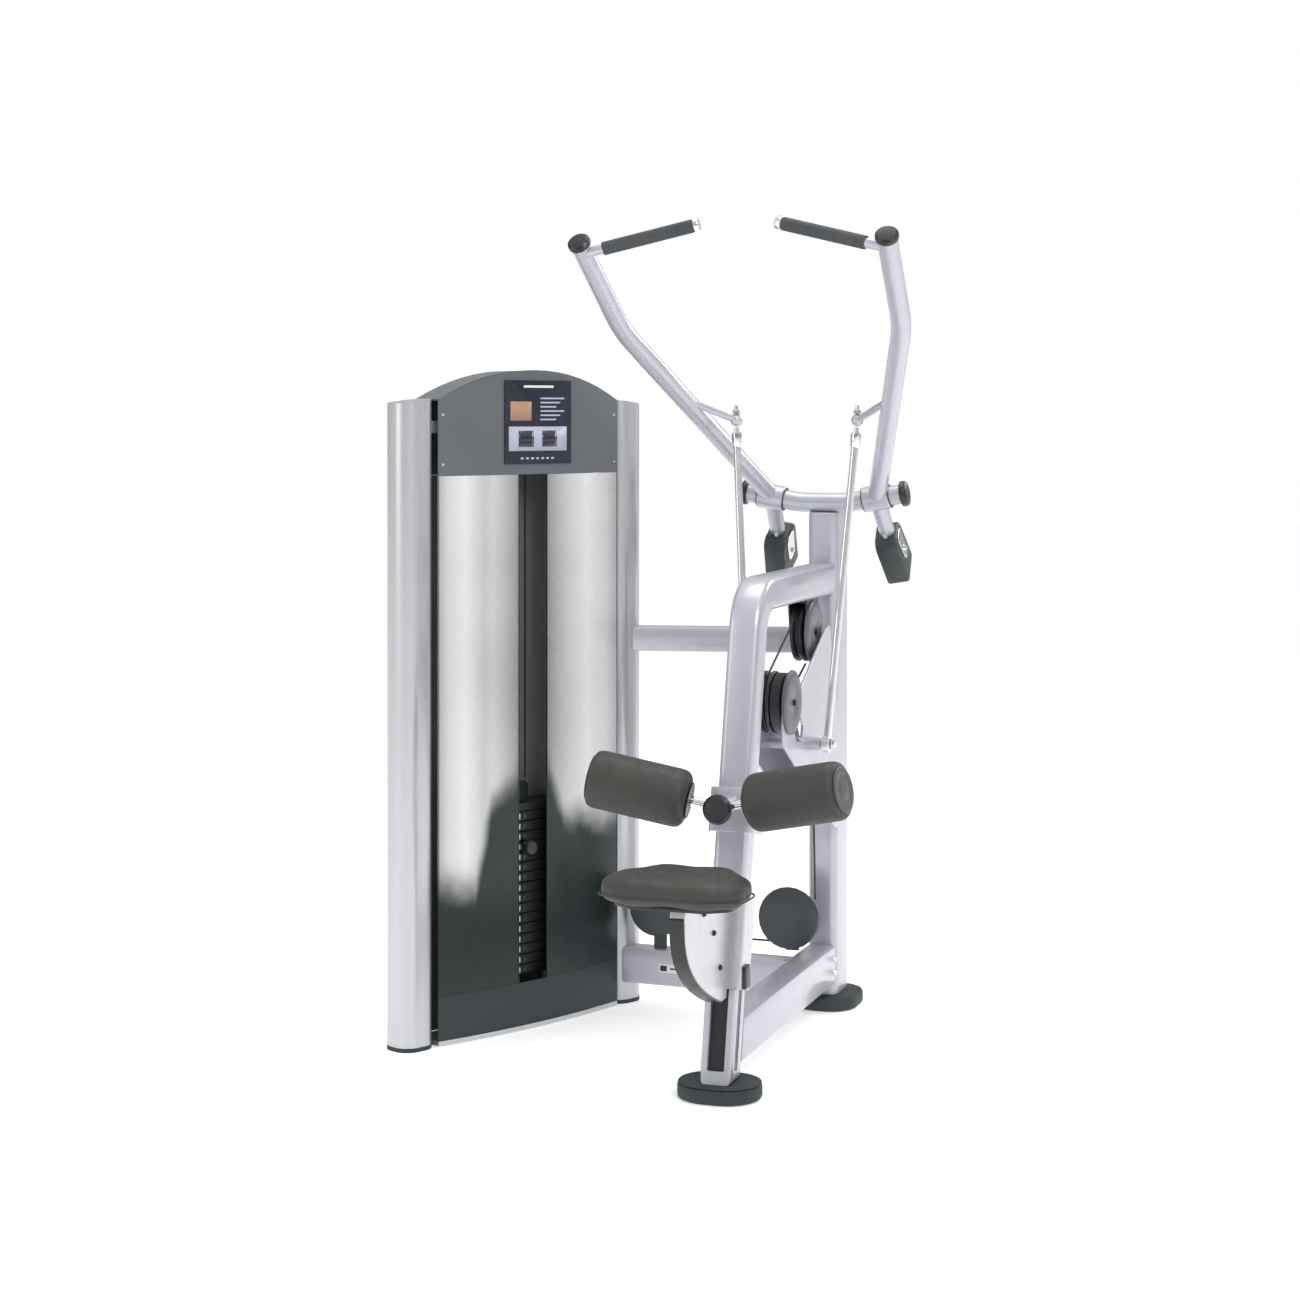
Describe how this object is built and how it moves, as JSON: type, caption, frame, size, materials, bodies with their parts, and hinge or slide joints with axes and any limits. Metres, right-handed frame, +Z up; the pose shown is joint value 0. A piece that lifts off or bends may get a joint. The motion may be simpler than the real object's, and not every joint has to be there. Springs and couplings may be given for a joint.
{
  "type": "lat pulldown machine",
  "caption": "Seated converging lat pulldown machine with swinging arms, thigh rollers, saddle seat, pulley lever and an enclosed selectorised weight tower",
  "frame": {"origin": "centre of the rear foot's underside, on the floor under the rear upright", "axes": "+Z up; +X to the seated user's right; +Y from the seat towards the rear upright; -Z is the rear foot's face on the floor"},
  "size_m": [1.2759, 1.5013, 1.9719],
  "materials": {
    "arch_frame": "satin silver paint",
    "arch_pulley": "satin",
    "arch_pulley_bracket": "satin",
    "arm_cap_left": "satin",
    "arm_cap_right": "satin",
    "arm_left": "satin silver paint",
    "arm_right": "satin silver paint",
    "base_beam": "satin silver paint",
    "base_cable": "matt black",
    "base_plate": "satin",
    "base_pulley": "satin",
    "base_pulley_cover": "satin",
    "column_front": "satin",
    "column_rear": "satin",
    "counterweight_left": "matt",
    "counterweight_right": "matt",
    "crown_bar": "satin silver paint",
    "front_foot": "matt",
    "grip_left": "matt",
    "grip_right": "matt",
    "guide_rod_left": "polished",
    "guide_rod_right": "polished",
    "head_plate": "matt black",
    "kick_panel": "satin",
    "lever": "satin silver paint",
    "lever_cable": "matt black",
    "lever_pulley": "satin",
    "lever_pulley_wrap": "matt black",
    "lower_crossbeam": "satin silver paint",
    "lower_weights": "matt black",
    "pinned_weights": "matt black",
    "placard": "printed",
    "rear_foot": "matt",
    "rear_upright": "satin silver paint",
    "return_cable": "matt black",
    "rod_left": "polished",
    "rod_right": "polished",
    "roller_axle": "polished",
    "roller_knob": "satin",
    "seat_carriage": "satin silver paint",
    "seat_index_strip": "satin",
    "seat_pad": "grained",
    "seat_pull_pin": "polished",
    "selector_pin": "satin",
    "shroud_left": "tinted",
    "shroud_rear": "tinted",
    "shroud_right": "tinted",
    "stack_cable_fixed": "matt black",
    "stack_cable_running": "matt black",
    "stack_pulley": "satin",
    "thigh_roller_left": "grained",
    "thigh_roller_right": "grained",
    "top_cap": "satin",
    "top_panel": "satin",
    "top_yoke": "satin silver paint",
    "tower_pulley": "satin",
    "tower_pulley_cover": "satin",
    "upper_crossbeam": "satin silver paint",
    "upright_cable": "matt black"
  },
  "bodies": {
    "frame": {"arch_frame": "arch_frame", "arch_pulley_bracket": "arch_pulley_bracket", "base_beam": "base_beam", "base_cable": "base_cable", "base_plate": "base_plate", "base_pulley_cover": "base_pulley_cover", "column_front": "column_front", "column_rear": "column_rear", "crown_bar": "crown_bar", "front_foot": "front_foot", "guide_rod_left": "guide_rod_left", "guide_rod_right": "guide_rod_right", "kick_panel": "kick_panel", "lever_cable": "lever_cable", "lower_crossbeam": "lower_crossbeam", "lower_weights": "lower_weights", "placard": "placard", "rear_foot": "rear_foot", "rear_upright": "rear_upright", "return_cable": "return_cable", "seat_index_strip": "seat_index_strip", "shroud_left": "shroud_left", "shroud_rear": "shroud_rear", "shroud_right": "shroud_right", "stack_cable_fixed": "stack_cable_fixed", "stack_cable_running": "stack_cable_running", "top_cap": "top_cap", "top_panel": "top_panel", "top_yoke": "top_yoke", "tower_pulley_cover": "tower_pulley_cover", "upper_crossbeam": "upper_crossbeam", "upright_cable": "upright_cable"},
    "arm_right": {"arm_right": "arm_right", "arm_cap_right": "arm_cap_right", "grip_right": "grip_right", "counterweight_right": "counterweight_right"},
    "arm_left": {"arm_left": "arm_left", "arm_cap_left": "arm_cap_left", "grip_left": "grip_left", "counterweight_left": "counterweight_left"},
    "rod_right": {"rod_right": "rod_right"},
    "rod_left": {"rod_left": "rod_left"},
    "lever": {"lever": "lever", "lever_pulley_wrap": "lever_pulley_wrap"},
    "lever_pulley": {"lever_pulley": "lever_pulley"},
    "arch_pulley": {"arch_pulley": "arch_pulley"},
    "base_pulley": {"base_pulley": "base_pulley"},
    "tower_pulley": {"tower_pulley": "tower_pulley"},
    "stack": {"head_plate": "head_plate", "pinned_weights": "pinned_weights"},
    "stack_pulley": {"stack_pulley": "stack_pulley"},
    "selector_pin": {"selector_pin": "selector_pin"},
    "thigh_carriage": {"roller_axle": "roller_axle", "roller_knob": "roller_knob"},
    "roller_left": {"thigh_roller_left": "thigh_roller_left"},
    "roller_right": {"thigh_roller_right": "thigh_roller_right"},
    "seat": {"seat_carriage": "seat_carriage", "seat_pad": "seat_pad"},
    "seat_pull_pin": {"seat_pull_pin": "seat_pull_pin"}
  },
  "joints": [
    {"name": "right_arm_swing", "type": "hinge", "parent": "frame", "child": "arm_right", "pos_m": [0.139, -0.038, 1.307], "axis": [0.9863, 0, 0.165], "range_deg": [0, 40]},
    {"name": "left_arm_swing", "type": "hinge", "parent": "frame", "child": "arm_left", "pos_m": [-0.139, -0.038, 1.307], "axis": [0.9863, 0, -0.165], "range_deg": [0, 40.1]},
    {"name": "right_rod_hinge", "type": "hinge", "parent": "arm_right", "child": "rod_right", "pos_m": [0.155, -0.304, 1.506], "axis": [0.9773, -0.0534, 0.2049], "range_deg": [-42, 2]},
    {"name": "left_rod_hinge", "type": "hinge", "parent": "arm_left", "child": "rod_left", "pos_m": [-0.155, -0.304, 1.506], "axis": [0.9773, 0.0534, -0.2049], "range_deg": [-42, 2]},
    {"name": "lever_swing", "type": "hinge", "parent": "frame", "child": "lever", "pos_m": [0, -0.03, 0.5], "axis": [1, 0, 0], "range_deg": [0, 31], "deforming": ["lever_cable", "return_cable"]},
    {"name": "lever_pulley_spin", "type": "hinge", "parent": "lever", "child": "lever_pulley", "pos_m": [0, -0.53, 0.836], "axis": [1, 0, 0], "continuous": true},
    {"name": "arch_pulley_spin", "type": "hinge", "parent": "frame", "child": "arch_pulley", "pos_m": [0, -0.24, 0.98], "axis": [1, 0, 0], "continuous": true},
    {"name": "base_pulley_spin", "type": "hinge", "parent": "frame", "child": "base_pulley", "pos_m": [-0.052, -0.172, 0.253], "axis": [0.0373, -0.9993, 0], "continuous": true},
    {"name": "tower_pulley_spin", "type": "hinge", "parent": "frame", "child": "tower_pulley", "pos_m": [-0.4, -0.185, 0.256], "axis": [0.0373, -0.9993, 0], "continuous": true},
    {"name": "stack_lift", "type": "slide", "parent": "frame", "child": "stack", "axis": [0, 0, 1], "range_m": [0, 0.41], "deforming": ["stack_cable_fixed", "stack_cable_running"]},
    {"name": "stack_pulley_spin", "type": "hinge", "parent": "stack", "child": "stack_pulley", "pos_m": [-0.68088, -0.4508, 0.5874], "axis": [0.8988, -0.4384, 0], "continuous": true},
    {"name": "selector_pin_pull", "type": "slide", "parent": "stack", "child": "selector_pin", "axis": [0.8988, -0.4384, 0], "range_m": [0, 0.075]},
    {"name": "thigh_pad_height", "type": "slide", "parent": "frame", "child": "thigh_carriage", "axis": [0, 0.2152, 0.9766], "range_m": [-0.05, 0.1]},
    {"name": "left_roller_spin", "type": "hinge", "parent": "thigh_carriage", "child": "roller_left", "pos_m": [-0.072, -0.935, 0.657], "axis": [-0.9698, -0.1392, 0.2001], "continuous": true},
    {"name": "right_roller_spin", "type": "hinge", "parent": "thigh_carriage", "child": "roller_right", "pos_m": [0.072, -0.935, 0.657], "axis": [0.9698, -0.1392, 0.2001], "continuous": true},
    {"name": "seat_height", "type": "slide", "parent": "frame", "child": "seat", "axis": [0, 0.2152, 0.9766], "range_m": [-0.04, 0.08]},
    {"name": "seat_pin_pull", "type": "slide", "parent": "seat", "child": "seat_pull_pin", "axis": [-1, 0, 0], "range_m": [0, 0.012], "stiffness_N_per_m": 600}
  ],
  "couplings": [
    {"joint": "left_arm_swing", "follows": "right_arm_swing", "ratio": 1},
    {"joint": "right_rod_hinge", "follows": "right_arm_swing", "ratio": -1.0037},
    {"joint": "left_rod_hinge", "follows": "right_arm_swing", "ratio": -1.0037},
    {"joint": "lever_swing", "follows": "right_arm_swing", "ratio": 0.7583},
    {"joint": "stack_lift", "follows": "right_arm_swing", "m_per_rad": 0.573}
  ]
}
